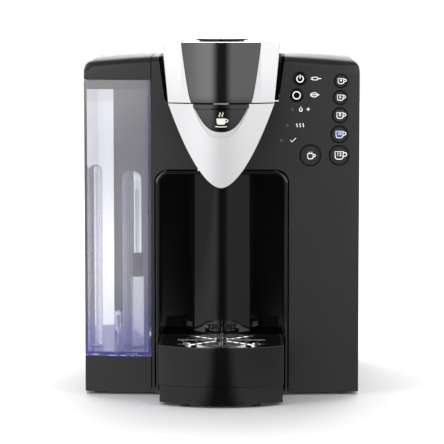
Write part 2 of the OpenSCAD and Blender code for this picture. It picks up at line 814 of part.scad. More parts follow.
module hoses() color("white") {
    // tank to pump
    elbow([valve_at[0], hose_y, hose_z]);
    hose([valve_at[0], hose_y, hose_z], [0, 0, 0], 10.4);
    hose([valve_at[0], hose_y, hose_z], [0, 90, 0], 60);
    elbow([-40, hose_y, hose_z]);
    hose([-40, hose_y, hose_z], [-90, 0, 0], 36);
    elbow([-40, 66, hose_z]);
    hose([-40, 66, hose_z], [0, 0, 0], 20);
    elbow([-40, 66, 40]);
    hose([-40, 66, 40], [0, 90, 0], 42);
    // boiler to the head
    hose([34, 66, 253.9], [0, 0, 0], 14);
    elbow([34, 66, 268]);
    hose([34, 66, 268], [90, 0, 0], 96);
    elbow([34, -30, 268]);
    hose([34, -30, 268], [0, -90, 0], 34);
    elbow([0, -30, 268]);
    hose([0, -30, 268], [90, 0, 0], 20);
}

module power_board() color("darkgreen") {
    translate([120, 0, 50]) cube([1.6, 110, 120]);
    translate([100, 20, 60]) cube([20, 36, 34]);
    for (y = [74, 96]) translate([110, y, 80]) rotate([0, 90, 0]) cylinder(r = 7, h = 10.1);
}

module cord_gland() color("black") translate([gland_at[0], back_y, gland_at[1]]) rotate([90, 0, 0]) difference() {
    union() {
        translate([0, 0, 0]) cylinder(r = 7, h = 12);
        translate([0, 0, wall + 0.2]) cylinder(r = 9, h = 3);
    }
    translate([0, 0, -3]) cylinder(r = 3.8, h = 30);
}

base_plate();
rubber_feet();
rear_housing();
rear_cover();
cover_screws();
front_fascia();
top_cover();
cavity_liner();
brew_column();
tray_stand();
tray_feet();
drip_tray();
tray_cover();
cup_grate();
head_collar();
head_housing();
head_shield();
release_button();
release_springs();
pod_holder();
exit_needle();
brew_funnel();
lid_panel();
lid_trim_left();
lid_trim_right();
lid_frame();
lid_cap();
lid_catch();
lid_hinge_pin();
pod_gasket();
spin_motor();
motor_pinion();
needle_gear();
brew_needle();
tank_dock();
dock_seal();
tank();
tank_lid();
tank_float();
float_guide();
outlet_valve();
valve_spring();
power_button();
saver_button();
brew_button();
cup_button_1();
cup_button_2();
cup_button_3();
cup_button_4();
cup_button_5();
indicator_lenses();
control_board();
tact_switches();
water_pump();
pump_bracket();
boiler();
boiler_bracket();
hoses();
power_board();
cord_gland();
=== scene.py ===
import json
from math import cos, pi, radians, sin, sqrt

import bmesh
import bpy
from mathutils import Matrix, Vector
from mathutils.bvhtree import BVHTree


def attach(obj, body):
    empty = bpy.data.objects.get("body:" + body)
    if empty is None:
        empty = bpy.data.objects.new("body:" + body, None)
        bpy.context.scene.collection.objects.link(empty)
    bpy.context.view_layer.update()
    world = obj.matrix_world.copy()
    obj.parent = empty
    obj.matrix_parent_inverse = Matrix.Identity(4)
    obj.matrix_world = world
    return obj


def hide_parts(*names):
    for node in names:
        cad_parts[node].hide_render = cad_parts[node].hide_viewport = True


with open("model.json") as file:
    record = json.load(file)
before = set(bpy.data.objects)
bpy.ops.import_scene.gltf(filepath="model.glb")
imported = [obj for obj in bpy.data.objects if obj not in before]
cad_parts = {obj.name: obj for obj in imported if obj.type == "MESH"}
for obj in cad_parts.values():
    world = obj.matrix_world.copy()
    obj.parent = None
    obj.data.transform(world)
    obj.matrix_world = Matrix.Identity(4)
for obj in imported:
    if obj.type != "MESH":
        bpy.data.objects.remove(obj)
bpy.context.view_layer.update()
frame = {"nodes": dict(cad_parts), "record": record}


# ---------------------------------------------------------------- studio
# The machine stands on a wide white table in a white room. Two tall banks of
# light left and right of the camera leave a dark gap in front, which the
# polished parts show as a soft black stripe.
def calc(tree, operation, *values, clamp=False):
    """A Math node on sockets or plain numbers; gives its output."""
    node = tree.nodes.new("ShaderNodeMath")
    node.operation = operation
    node.use_clamp = clamp
    for socket, value in zip(node.inputs, values):
        if isinstance(value, (int, float)):
            socket.default_value = value
        else:
            tree.links.new(value, socket)
    return node.outputs[0]


def ramp(tree, value, start, end, low, high):
    """A smooth step from low to high as value goes from start to end."""
    node = tree.nodes.new("ShaderNodeMapRange")
    node.interpolation_type = "SMOOTHSTEP"
    tree.links.new(value, node.inputs["Value"])
    for name, number in zip(("From Min", "From Max", "To Min", "To Max"), (start, end, low, high)):
        node.inputs[name].default_value = number
    return node.outputs[0]


def light_banks(tree, vector):
    """How strongly the banks shine from a direction seen from the machine."""
    axes = tree.nodes.new("ShaderNodeSeparateXYZ")
    tree.links.new(vector, axes.inputs[0])
    x, y = axes.outputs["X"], axes.outputs["Y"]
    ahead = calc(tree, "MAXIMUM", calc(tree, "MULTIPLY", y, -1), 0.001)
    spread = calc(tree, "DIVIDE", x, ahead)
    gap = ramp(tree, calc(tree, "ABSOLUTE", spread), 0.05, 0.24, 0.03, 1)
    side = ramp(tree, x, -0.3, 0.3, 1.15, 0.68)
    far_left = ramp(tree, x, -0.75, -0.3, 0.6, 1)
    banks = calc(tree, "MULTIPLY", gap, calc(tree, "MULTIPLY", side, far_left))
    return banks, axes.outputs["Z"], y


def mirrored_ray(tree):
    """1 for a ray that bounced off a surface, 0 for one seen straight or through clear walls."""
    path = tree.nodes.new("ShaderNodeLightPath")
    bounced, passed = path.outputs["Is Glossy Ray"], path.outputs["Is Transmission Ray"]
    return calc(tree, "SUBTRACT", bounced, passed, clamp=True), path


table_data = bpy.data.meshes.new("table_top")
bm = bmesh.new()
bmesh.ops.create_grid(bm, x_segments=1, y_segments=1, size=1)
bmesh.ops.scale(bm, vec=(7, 4.4, 1), verts=bm.verts)
bmesh.ops.translate(bm, vec=(0, 0.9, 0), verts=bm.verts)
bm.to_mesh(table_data)
bm.free()
table = bpy.data.objects.new("table_top", table_data)
bpy.context.collection.objects.link(table)

table_finish = bpy.data.materials.new("table_white")
table_finish.use_nodes = True
tree = table_finish.node_tree
shader = tree.nodes["Principled BSDF"]
shader.inputs["Base Color"].default_value = (0.9, 0.9, 0.9, 1)
shader.inputs["Roughness"].default_value = 0.8
shader.inputs["Specular IOR Level"].default_value = 0.1
shader.inputs["Emission Color"].default_value = (1, 1, 1, 1)
place = tree.nodes.new("ShaderNodeTexCoord")
away = tree.nodes.new("ShaderNodeVectorMath")
away.operation = "LENGTH"
tree.links.new(place.outputs["Object"], away.inputs[0])
tree.links.new(
    ramp(tree, away.outputs["Value"], 0.3, 1.6, 0, 0.7), shader.inputs["Emission Strength"]
)
banks, height, depth = light_banks(tree, place.outputs["Object"])
gloss = tree.nodes.new("ShaderNodeEmission")
tree.links.new(
    calc(tree, "MULTIPLY", banks, ramp(tree, depth, -0.4, 0.6, 0.65, 1.6)),
    gloss.inputs["Strength"],
)
choice = tree.nodes.new("ShaderNodeMixShader")
mirrored, path = mirrored_ray(tree)
tree.links.new(mirrored, choice.inputs["Fac"])
tree.links.new(shader.outputs["BSDF"], choice.inputs[1])
tree.links.new(gloss.outputs["Emission"], choice.inputs[2])
tree.links.new(choice.outputs["Shader"], tree.nodes["Material Output"].inputs["Surface"])
table_data.materials.append(table_finish)

room = bpy.data.worlds.new("studio_room")
room.use_nodes = True
tree = room.node_tree
place = tree.nodes.new("ShaderNodeTexCoord")
banks, height, depth = light_banks(tree, place.outputs["Generated"])
low_edge = ramp(tree, height, -0.075, -0.026, 0.8, 4.2)
high_edge = ramp(tree, height, 0.3, 0.55, 1, 0.1)
shine = calc(tree, "MULTIPLY", banks, calc(tree, "MULTIPLY", low_edge, high_edge))
mirrored, path = mirrored_ray(tree)
plain = calc(tree, "MULTIPLY_ADD", path.outputs["Is Diffuse Ray"], -0.45, 1)
strength = tree.nodes.new("ShaderNodeMix")
tree.links.new(mirrored, strength.inputs["Factor"])
tree.links.new(plain, strength.inputs["A"])
tree.links.new(shine, strength.inputs["B"])
tree.links.new(strength.outputs["Result"], tree.nodes["Background"].inputs["Strength"])
tree.nodes["Background"].inputs["Color"].default_value = (1, 1, 1, 1)
bpy.context.scene.world = room
bpy.context.scene.view_settings.view_transform = "Standard"


def softbox(name, place, aim, width, height, watts):
    """A rectangular lamp at place that faces aim, too soft to show in the gloss."""
    lamp = bpy.data.lights.new(name, "AREA")
    lamp.shape = "RECTANGLE"
    lamp.size, lamp.size_y = width, height
    lamp.energy = watts
    holder = bpy.data.objects.new(name, lamp)
    holder.location = place
    holder.rotation_euler = (Vector(aim) - Vector(place)).to_track_quat("-Z", "Y").to_euler()
    holder.visible_glossy = False
    holder.visible_transmission = False
    bpy.context.collection.objects.link(holder)


softbox("softbox_left", (-1.5, -0.9, 0.9), (0, 0, 0.2), 0.9, 1.5, 14)
softbox("softbox_right", (1.5, -0.9, 0.9), (0, 0, 0.2), 0.9, 1.5, 10)
softbox("softbox_top", (0, 0.7, 1.5), (0, -0.1, 0.1), 1.4, 1.0, 30)

camera_data = bpy.data.cameras.new("camera")
camera_data.lens = 198.2
camera_data.sensor_width = 36
camera = bpy.data.objects.new("camera", camera_data)
camera.location = (0.0213, -2.4, 0.403)
camera.rotation_euler = (radians(90 - 5.82), 0, radians(0.52))
bpy.context.collection.objects.link(camera)
bpy.context.scene.camera = camera


# ---------------------------------------------------------------- casing
# Injection-moulded shells in a warm satin black with a fine spark-eroded
# grain: rear housing, back cover, top cover and base plate. The
# top cover is rolled over at the front, and six screws hold the back cover.
MM = 0.001
body_of_node = {
    node: body
    for body, nodes in frame["record"]["behaviour"]["bodies"].items()
    for node in nodes
}


def link_group(tree, group):
    """Places a node group in a material's tree."""
    node = tree.nodes.new("ShaderNodeGroup")
    node.node_tree = group
    return node


def moulded_surface_group():
    """Colour, roughness and height of a moulded surface: grain, and faint handling marks."""
    group = bpy.data.node_groups.new("moulded_surface", "ShaderNodeTree")
    for name, kind in (
        ("Colour", "NodeSocketColor"),
        ("Roughness", "NodeSocketFloat"),
        ("Grain per metre", "NodeSocketFloat"),
        ("Mottle", "NodeSocketFloat"),
        ("Smudge", "NodeSocketFloat"),
    ):
        group.interface.new_socket(name, in_out="INPUT", socket_type=kind)
    for name, kind in (
        ("Colour", "NodeSocketColor"),
        ("Roughness", "NodeSocketFloat"),
        ("Height", "NodeSocketFloat"),
    ):
        group.interface.new_socket(name, in_out="OUTPUT", socket_type=kind)
    new, wire = group.nodes.new, group.links.new
    given = new("NodeGroupInput")
    out = new("NodeGroupOutput")
    place = new("ShaderNodeTexCoord")

    grain = new("ShaderNodeTexNoise")
    grain.inputs["Detail"].default_value = 2
    wire(place.outputs["Object"], grain.inputs["Vector"])
    wire(given.outputs["Grain per metre"], grain.inputs["Scale"])
    wire(grain.outputs["Fac"], out.inputs["Height"])

    cloud = new("ShaderNodeTexNoise")
    cloud.inputs["Scale"].default_value = 26
    cloud.inputs["Detail"].default_value = 5
    wire(place.outputs["Object"], cloud.inputs["Vector"])
    centred = new("ShaderNodeMath")
    centred.operation = "SUBTRACT"
    centred.inputs[1].default_value = 0.5
    wire(cloud.outputs["Fac"], centred.inputs[0])

    shade = new("ShaderNodeMath")
    shade.operation = "MULTIPLY_ADD"
    shade.inputs[2].default_value = 1
    wire(centred.outputs[0], shade.inputs[0])
    wire(given.outputs["Mottle"], shade.inputs[1])
    tint = new("ShaderNodeVectorMath")
    tint.operation = "SCALE"
    wire(given.outputs["Colour"], tint.inputs[0])
    wire(shade.outputs[0], tint.inputs["Scale"])
    wire(tint.outputs[0], out.inputs["Colour"])

    rub = new("ShaderNodeMath")
    rub.operation = "MULTIPLY_ADD"
    wire(centred.outputs[0], rub.inputs[0])
    wire(given.outputs["Smudge"], rub.inputs[1])
    wire(given.outputs["Roughness"], rub.inputs[2])
    wire(rub.outputs[0], out.inputs["Roughness"])
    return group


moulded_surface = moulded_surface_group()


def plastic(name, colour, roughness, grain=2400, depth=0.02, mottle=0.25, smudge=0.12,
            metallic=0.0, coat=0.0, specular=0.5):
    """A procedural material for a moulded, plated or metal surface."""
    finish = bpy.data.materials.new(name)
    finish.use_nodes = True
    tree = finish.node_tree
    shader = tree.nodes["Principled BSDF"]
    surface = link_group(tree, moulded_surface)
    surface.inputs["Colour"].default_value = (*colour, 1)
    surface.inputs["Roughness"].default_value = roughness
    surface.inputs["Grain per metre"].default_value = grain
    surface.inputs["Mottle"].default_value = mottle
    surface.inputs["Smudge"].default_value = smudge
    tree.links.new(surface.outputs["Colour"], shader.inputs["Base Color"])
    tree.links.new(surface.outputs["Roughness"], shader.inputs["Roughness"])
    if depth:
        bump = tree.nodes.new("ShaderNodeBump")
        bump.inputs["Strength"].default_value = depth
        bump.inputs["Distance"].default_value = 0.0004
        tree.links.new(surface.outputs["Height"], bump.inputs["Height"])
        tree.links.new(bump.outputs["Normal"], shader.inputs["Normal"])
    shader.inputs["Metallic"].default_value = metallic
    shader.inputs["Coat Weight"].default_value = coat
    shader.inputs["Specular IOR Level"].default_value = specular
    return finish


def merged_copy(node):
    """A bmesh of a CAD piece with its loose triangles joined and its flats made whole."""
    bm = bmesh.new()
    bm.from_mesh(frame["nodes"][node].data)
    bmesh.ops.remove_doubles(bm, verts=bm.verts, dist=0.004 * MM)
    bmesh.ops.dissolve_degenerate(bm, dist=0.004 * MM, edges=bm.edges)
    bmesh.ops.dissolve_limit(
        bm, angle_limit=radians(0.3), verts=bm.verts, edges=bm.edges, delimit=set()
    )
    return bm


def place_piece(bm, name, finish, body, smooth_angle=32):
    """Turns a bmesh into a named piece that rides on a body."""
    for face in bm.faces:
        face.smooth = True
    for edge in bm.edges:
        edge.smooth = len(edge.link_faces) == 2 and edge.calc_face_angle(0) < radians(smooth_angle)
    data = bpy.data.meshes.new(name)
    bm.to_mesh(data)
    bm.free()
    data.materials.append(finish)
    piece = bpy.data.objects.new(name, data)
    bpy.context.collection.objects.link(piece)
    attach(piece, body)
    return piece


def round_edges(piece, width, segments=3, angle=35):
    """Small radii along the sharp edges, as a mould leaves them."""
    bevel = piece.modifiers.new("edge_radius", "BEVEL")
    bevel.width = width * MM
    bevel.segments = segments
    bevel.limit_method = "ANGLE"
    bevel.angle_limit = radians(angle)
    bevel.harden_normals = True
    bevel.use_clamp_overlap = True
    return bevel


def soften(node, finish, radius, segments=3, shape=None):
    """Stands in for a CAD piece: the same shape with rounded edges, reshaped first if asked."""
    bm = merged_copy(node)
    if shape:
        shape(bm)
    piece = place_piece(bm, node + "_moulding", finish, body_of_node[node])
    if radius:
        round_edges(piece, radius, segments)
    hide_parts(node)
    return piece


def dress(node, finish):
    """Gives a CAD piece its finish and leaves its shape alone."""
    data = frame["nodes"][node].data
    data.materials.clear()
    data.materials.append(finish)


HALF_WIDTH = 0.131
FRONT_Y, FRONT_RADIUS = -0.086, 1.075
CROWN_Z, CROWN_RADIUS, SLOPE_RADIUS = 0.3255, 1.2, 2.2
SHOULDER_RADIUS, SHOULDER_Z = 0.007, 0.312


def face_y(x):
    """Where the casing's gently curved front lies at a distance from the middle."""
    return FRONT_Y + FRONT_RADIUS - sqrt(FRONT_RADIUS**2 - x * x)


def crown_height(x, y):
    """The casing's outline seen from the front, less the fall of its top from front to back."""
    x = min(abs(x), HALF_WIDTH)
    crown = CROWN_Z - CROWN_RADIUS + sqrt(CROWN_RADIUS**2 - x * x)
    reach = x - (HALF_WIDTH - SHOULDER_RADIUS)
    if reach > 0:
        reach = min(reach, SHOULDER_RADIUS)
        crown = min(crown, SHOULDER_Z + sqrt(SHOULDER_RADIUS**2 - reach**2))
    fall = SLOPE_RADIUS - sqrt(SLOPE_RADIUS**2 - (y + 0.06) ** 2)
    return crown - fall


def roll_front_edge(bm, radius=6.5 * MM, rings=7):
    """Rolls the sharp edge between the top and the curved front into a round one."""
    for v in bm.verts:
        v.co.z -= crown_height(v.co.x, v.co.y)
        v.co.y -= face_y(v.co.x)
    for ring in range(1, rings + 1):
        reach = radius * ring / rings
        for plane, normal in (((0, reach, 0), (0, 1, 0)), ((0, 0, -reach), (0, 0, 1))):
            bmesh.ops.bisect_plane(
                bm, geom=bm.verts[:] + bm.edges[:] + bm.faces[:], dist=1e-6,
                plane_co=plane, plane_no=normal,
            )
    for v in bm.verts:
        inward, below = max(v.co.y, 0), max(-v.co.z, 0)
        if inward < radius and below < radius:
            skin = min(inward, below)
            quarter = pi / 4 * (1 - (max(inward, below) - skin) / (radius - skin))
            near = radius - (radius - skin) * sin(quarter)
            far = radius - (radius - skin) * cos(quarter)
            v.co.y, v.co.z = (near, -far) if inward > below else (far, -near)
    for v in bm.verts:
        v.co.y += face_y(v.co.x)
        v.co.z += crown_height(v.co.x, v.co.y)


satin_black = plastic(
    "satin_black_abs", (0.0125, 0.0115, 0.0122), 0.4, grain=2600, depth=0.05, specular=0.34
)
for shell, radius in (("rear_housing", 0.8), ("rear_cover", 0.5)):
    soften(shell, satin_black, radius)
soften("top_cover", satin_black, 0.5, shape=roll_front_edge)
dress("base_plate", satin_black)

screw_steel = plastic("zinc_screw", (0.42, 0.42, 0.43), 0.3, metallic=1.0, depth=0)
dress("cover_screws", screw_steel)
black_rubber = plastic("black_rubber", (0.015, 0.015, 0.015), 0.75, grain=900, depth=0.15)
soften("rubber_feet", black_rubber, 0.4)


# ---------------------------------------------------------------- front fascia
# One satin moulding, gently curved from side to side, with the mug bay's
# opening, the keys' holes and three light lenses. Its signs are printed.
soften("front_fascia", satin_black, 0.7, shape=roll_front_edge)

smoked_lens = plastic("smoked_lens", (0.10, 0.095, 0.10), 0.2, depth=0, mottle=0.1)
dress("indicator_lenses", smoked_lens)


# ---------------------------------------------------------------- mug bay
# A polished black liner with a rounded lip, and the bowed column that
# stands in the middle of its back wall.
def roll_edges(pick, offset, segments=4):
    """A shaping step that rounds the edges that pick chooses, by a radius in millimetres."""
    def shape(bm):
        edges = [
            e for e in bm.edges
            if len(e.link_faces) == 2 and e.calc_face_angle(0) > radians(35) and pick(e)
        ]
        bmesh.ops.bevel(
            bm, geom=edges, offset=offset * MM, offset_type="OFFSET", affect="EDGES",
            segments=segments, profile=0.5, material=-1, clamp_overlap=True,
        )
    return shape


def ends(edge, test):
    """Whether both ends of an edge pass a test."""
    return all(test(v.co) for v in edge.verts)


gloss_black = plastic(
    "polished_black", (0.0042, 0.0042, 0.0048), 0.06, grain=60, depth=0.008, smudge=0.04
)
lip_y = FRONT_Y - 0.6 * MM
soften(
    "cavity_liner", gloss_black, 0,
    shape=roll_edges(lambda e: ends(e, lambda p: p.y < lip_y + 0.1 * MM), 1.6),
)
soften("brew_column", gloss_black, 0.8)

# Two foam strips behind the fascia close the slit between it and the liner's roof.
foam_black = plastic("foam_black", (0.004, 0.004, 0.004), 0.9, grain=1800, depth=0.2, specular=0.1)
SEAL_SIZE, SEAL_PLACE = Vector((28, 2, 6)) * MM, Vector((37, -80.4, 218)) * MM
for name, side in (("bay_seal_left", -1), ("bay_seal_right", 1)):
    bm = bmesh.new()
    bmesh.ops.create_cube(bm, size=1)
    bmesh.ops.scale(bm, vec=SEAL_SIZE, verts=bm.verts)
    middle_of_seal = (side * SEAL_PLACE.x, SEAL_PLACE.y, SEAL_PLACE.z)
    bmesh.ops.translate(bm, vec=middle_of_seal, verts=bm.verts)
    seal = place_piece(bm, name, foam_black, "base")
    round_edges(seal, 0.3)


# ---------------------------------------------------------------- drip tray
# A deep polished bin on a low stand, with a flat cover that has a round
# opening for the plated cup grate.
soften("drip_tray", gloss_black, 0.9)
soften("tray_stand", gloss_black, 0.8)
soften("tray_cover", gloss_black, 0.6)
soften("tray_feet", black_rubber, 0.4)

silver = plastic(
    "satin_silver", (0.57, 0.57, 0.58), 0.38, grain=900, depth=0.015, mottle=0.03, smudge=0.05,
    metallic=0.45,
)
bright_chrome = plastic(
    "bright_chrome", (0.8, 0.8, 0.815), 0.12, grain=500, depth=0, mottle=0.03, smudge=0.05,
    metallic=1.0,
)
soften("cup_grate", bright_chrome, 0.3, 2)


# ---------------------------------------------------------------- brewing head
# A black carrier holds the pod. Its front is a V-shaped satin silver shield
# with the lid's release button let into the top.
carrier_black = plastic("plain_black_moulding", (0.012, 0.012, 0.012), 0.5, grain=1500, depth=0.05)
# A dead, dull black for painted shade: the collar is a real black part made darker to read as the
# shade of the gaps beside it, and the keys' edge rings use it too.
painted_shade_black = plastic("shadow_black", (0.004, 0.004, 0.004), 0.6, depth=0, specular=0.15)
soften("head_collar", painted_shade_black, 0.5)
soften("head_housing", gloss_black, 0.5)
soften("head_shield", silver, 0.6)
soften("release_button", gloss_black, 0.5)
soften("pod_holder", carrier_black, 0.5)
soften("brew_funnel", carrier_black, 0.5)
needle_steel = plastic("stainless_steel", (0.6, 0.6, 0.6), 0.24, metallic=1.0, depth=0)
for part in ("exit_needle", "release_springs", "lid_hinge_pin"):
    dress(part, needle_steel)


# ---------------------------------------------------------------- lid
# A polished black middle strip runs over the lid between two silver sides.
# Under it a black frame carries the gasket, the hollow needle and its motor.
LID_TOP = 0.3398
front_brow = roll_edges(lambda e: ends(e, lambda p: p.z > LID_TOP - 1.5 * MM and p.y < -0.1), 3.2)
side_roll = roll_edges(lambda e: ends(e, lambda p: p.z > LID_TOP - 1.5 * MM), 2.2)
soften("lid_trim_left", silver, 0.7, shape=side_roll)
soften("lid_trim_right", silver, 0.7, shape=side_roll)
soften("lid_panel", gloss_black, 0.4, shape=front_brow)
soften("lid_cap", gloss_black, 0.5)
soften("lid_frame", carrier_black, 0.4)
for part in ("lid_catch", "brew_needle"):
    dress(part, needle_steel)
silicone_red = plastic("silicone_seal", (0.3, 0.09, 0.06), 0.55, grain=800, depth=0.1)
dress("pod_gasket", silicone_red)
motor_zinc = plastic("zinc_can", (0.45, 0.45, 0.46), 0.35, metallic=1.0, depth=0.02)
dress("spin_motor", motor_zinc)
nylon = plastic("natural_nylon", (0.72, 0.7, 0.62), 0.5, grain=1200, depth=0.05)
for part in ("motor_pinion", "needle_gear"):
    dress(part, nylon)


# ---------------------------------------------------------------- water tank
# A thin clear polycarbonate tank with a faint violet cast, a black lid, a
# float on a stem and the outlet valve that opens onto the dock.
DOCK_TOP, INNER_WALL = 38 * MM, -70 * MM


def clear_plastic(name, colour, roughness):
    """A clear wall with a slight haze, whose colour carries a painted blue glow of the lamp below
    low down and turns bluer across the inner wall on the right.
    """
    finish = bpy.data.materials.new(name)
    finish.use_nodes = True
    tree = finish.node_tree
    shader = tree.nodes["Principled BSDF"]
    surface = link_group(tree, moulded_surface)
    surface.inputs["Colour"].default_value = (*colour, 1)
    surface.inputs["Roughness"].default_value = roughness
    surface.inputs["Grain per metre"].default_value = 40
    surface.inputs["Mottle"].default_value = 0.06
    surface.inputs["Smudge"].default_value = 0.03
    tree.links.new(surface.outputs["Colour"], shader.inputs["Base Color"])
    tree.links.new(surface.outputs["Roughness"], shader.inputs["Roughness"])
    shader.inputs["Transmission Weight"].default_value = 1
    shader.inputs["IOR"].default_value = 1.49
    path = tree.nodes.new("ShaderNodeLightPath")
    open_air = tree.nodes.new("ShaderNodeBsdfTransparent")
    open_air.inputs["Color"].default_value = (*colour, 1)
    haze = tree.nodes.new("ShaderNodeBsdfDiffuse")
    place = tree.nodes.new("ShaderNodeTexCoord")
    axes = tree.nodes.new("ShaderNodeSeparateXYZ")
    tree.links.new(place.outputs["Object"], axes.inputs[0])
    # Painted glow: the haze turns blue-violet low down by the dock, where the lamp below would
    # light the tank, and bluer across the inner wall on the right.
    low = ramp(tree, axes.outputs["Z"], DOCK_TOP, DOCK_TOP + 62 * MM, 1, 0)
    right = ramp(tree, axes.outputs["X"], INNER_WALL - 4 * MM, INNER_WALL, 0, 0.7)
    tint = tree.nodes.new("ShaderNodeMix")
    tint.data_type = "RGBA"
    tree.links.new(calc(tree, "MAXIMUM", low, right), tint.inputs["Factor"])
    tint.inputs["A"].default_value = (0.8, 0.8, 0.84, 1)
    tint.inputs["B"].default_value = (0.34, 0.34, 0.95, 1)
    tree.links.new(tint.outputs["Result"], haze.inputs["Color"])
    veiled = tree.nodes.new("ShaderNodeMixShader")
    veiled.inputs["Fac"].default_value = 0.07
    tree.links.new(shader.outputs["BSDF"], veiled.inputs[1])
    tree.links.new(haze.outputs["BSDF"], veiled.inputs[2])
    choice = tree.nodes.new("ShaderNodeMixShader")
    tree.links.new(path.outputs["Is Shadow Ray"], choice.inputs["Fac"])
    tree.links.new(veiled.outputs["Shader"], choice.inputs[1])
    tree.links.new(open_air.outputs["BSDF"], choice.inputs[2])
    tree.links.new(choice.outputs["Shader"], tree.nodes["Material Output"].inputs["Surface"])
    return finish


tank_clear = clear_plastic("clear_violet", (0.83, 0.83, 0.87), 0.03)
for part in ("tank", "float_guide", "outlet_valve"):
    dress(part, tank_clear)
soften("tank_lid", satin_black, 0.5, shape=roll_front_edge)
float_finish = plastic("float_grey", (0.05, 0.05, 0.06), 0.4)
soften("tank_float", float_finish, 0.4)
dress("valve_spring", needle_steel)
dress("dock_seal", silicone_red)

# The tank's dock is the casing's black. A thin band just under its top glows blue-violet in
# blotches:
# painted glow standing in for the light of a lamp under the tank, leaking out along the tank's
# floor.
dock_black_painted_glow = plastic(
    "lit_dock_abs", (0.0125, 0.0115, 0.0122), 0.4, grain=2600, depth=0.05, specular=0.34
)
tree = dock_black_painted_glow.node_tree
place = tree.nodes.new("ShaderNodeTexCoord")
axes = tree.nodes.new("ShaderNodeSeparateXYZ")
tree.links.new(place.outputs["Object"], axes.inputs[0])
glow_blotch_noise = tree.nodes.new("ShaderNodeTexNoise")
glow_blotch_noise.inputs["Scale"].default_value = 180
tree.links.new(place.outputs["Object"], glow_blotch_noise.inputs["Vector"])
spots = ramp(tree, glow_blotch_noise.outputs["Fac"], 0.45, 0.7, 0.5, 3.5)
lit = ramp(tree, axes.outputs["Z"], DOCK_TOP - 0.8 * MM, DOCK_TOP - 0.1 * MM, 0, 1)
glow = calc(tree, "MULTIPLY", lit, spots)
shader = tree.nodes["Principled BSDF"]
shader.inputs["Emission Color"].default_value = (0.22, 0.2, 1.0, 1)
tree.links.new(glow, shader.inputs["Emission Strength"])
soften("tank_dock", dock_black_painted_glow, 0.6)


# ---------------------------------------------------------------- keys and signs
# Eight round push keys stand just proud of the fascia; the upper two are
# polished discs and the rest are satin. White ink signs are printed on them,
# on the fascia beside the lights and on the lid's release button.
HALF = 0.5
INK_THICKNESS, INK_DEPTH = 0.07 * MM, 0.04 * MM
LINE_WIDTH = 0.72


def arc(x, z, radius, start, end, steps=14):
    """Points along part of a circle, angles in degrees."""
    turns = [radians(start + (end - start) * step / steps) for step in range(steps + 1)]
    return [(x + radius * cos(turn), z + radius * sin(turn)) for turn in turns]


def drawn(strokes, width, fill=False):
    """Lines of a round pen, or filled outlines, as a bmesh that faces the front."""
    line = bpy.data.curves.new("pen", "CURVE")
    line.dimensions = "2D" if fill else "3D"
    if fill:
        line.fill_mode = "BOTH"
        line.extrude = HALF
    else:
        line.bevel_depth = width / 2
        line.bevel_resolution = 2
        line.use_fill_caps = True
    for points, closed in strokes:
        spline = line.splines.new("POLY")
        spline.points.add(len(points) - 1)
        spline.use_cyclic_u = closed
        for point, (x, z) in zip(spline.points, points):
            point.co = (x, z, 0, 1)
    return turned_to_front(line, 1 if fill else width)


def figure(text, size):
    """A number in the plain built-in type, centred."""
    line = bpy.data.curves.new("figure", "FONT")
    line.body = text
    line.size = size
    line.align_x = line.align_y = "CENTER"
    line.extrude = HALF
    line.offset = size * 0.012
    return turned_to_front(line, 1)


def turned_to_front(line, thickness):
    """Makes a curve a mesh, stands it upright and gives it a thickness of 1."""
    holder = bpy.data.objects.new("pen", line)
    bpy.context.collection.objects.link(holder)
    bpy.context.view_layer.update()
    bm = bmesh.new()
    bm.from_mesh(holder.to_mesh())
    bpy.data.objects.remove(holder)
    for v in bm.verts:
        v.co = Vector((v.co.x, -v.co.z / thickness, v.co.y))
    return bm


def print_on(node, name, bm, x, z, ink):
    """Lays a sign on a piece's front at x, z (all signs are drawn in millimetres)."""
    cad_piece = merged_copy(node)
    surface = BVHTree.FromBMesh(cad_piece)
    cad_piece.free()
    bmesh.ops.subdivide_edges(
        bm, edges=[e for e in bm.edges if e.calc_length() > 1.2], cuts=2, use_grid_fill=True
    )
    for v in bm.verts:
        place = Vector((x + v.co.x, 0, z + v.co.z)) * MM
        hit = surface.ray_cast(Vector((place.x, -0.5, place.z)), Vector((0, 1, 0)))[0]
        v.co = (place.x, hit.y - INK_DEPTH + v.co.y * INK_THICKNESS, place.z)
    bmesh.ops.triangulate(bm, faces=[f for f in bm.faces if len(f.verts) > 4])
    return place_piece(bm, name, ink, body_of_node[node], 60)


def middle(node):
    """Where a key's centre lies on the front, and its radius, in millimetres."""
    corners = [v.co / MM for v in frame["nodes"][node].data.vertices]
    low = Vector(min(c[axis] for c in corners) for axis in range(3))
    high = Vector(max(c[axis] for c in corners) for axis in range(3))
    return (low.x + high.x) / 2, (low.z + high.z) / 2, (high.z - low.z) / 2


def mug(r):
    """A plain mug seen from the side, as wide as its key allows."""
    bowl = [(-0.42 * r, 0.38 * r), (-0.4 * r, -0.16 * r)]
    bowl += arc(-0.18 * r, -0.18 * r, 0.21 * r, 180, 270, 4)
    bowl += arc(0.18 * r, -0.18 * r, 0.21 * r, 270, 360, 4)
    bowl += [(0.4 * r, -0.16 * r), (0.42 * r, 0.38 * r)]
    grip = [(0.42 * r, 0.27 * r)] + arc(0.6 * r, 0.1 * r, 0.17 * r, 90, -60, 6)
    grip += [(0.4 * r, -0.14 * r)]
    return [(bowl, True), (grip, False)]


white_ink_painted_glow = plastic("white_ink_painted_glow", (0.92, 0.92, 0.93), 0.55, depth=0, mottle=0.05, smudge=0.05)
# The white print also carries a faint painted glow (emission 0.3), brighter than the light that
# falls on it.
shader = white_ink_painted_glow.node_tree.nodes["Principled BSDF"]
shader.inputs["Emission Color"].default_value = (1, 1, 1, 1)
shader.inputs["Emission Strength"].default_value = 0.3
for key in ("power_button", "saver_button"):
    soften(key, gloss_black, 0.5)
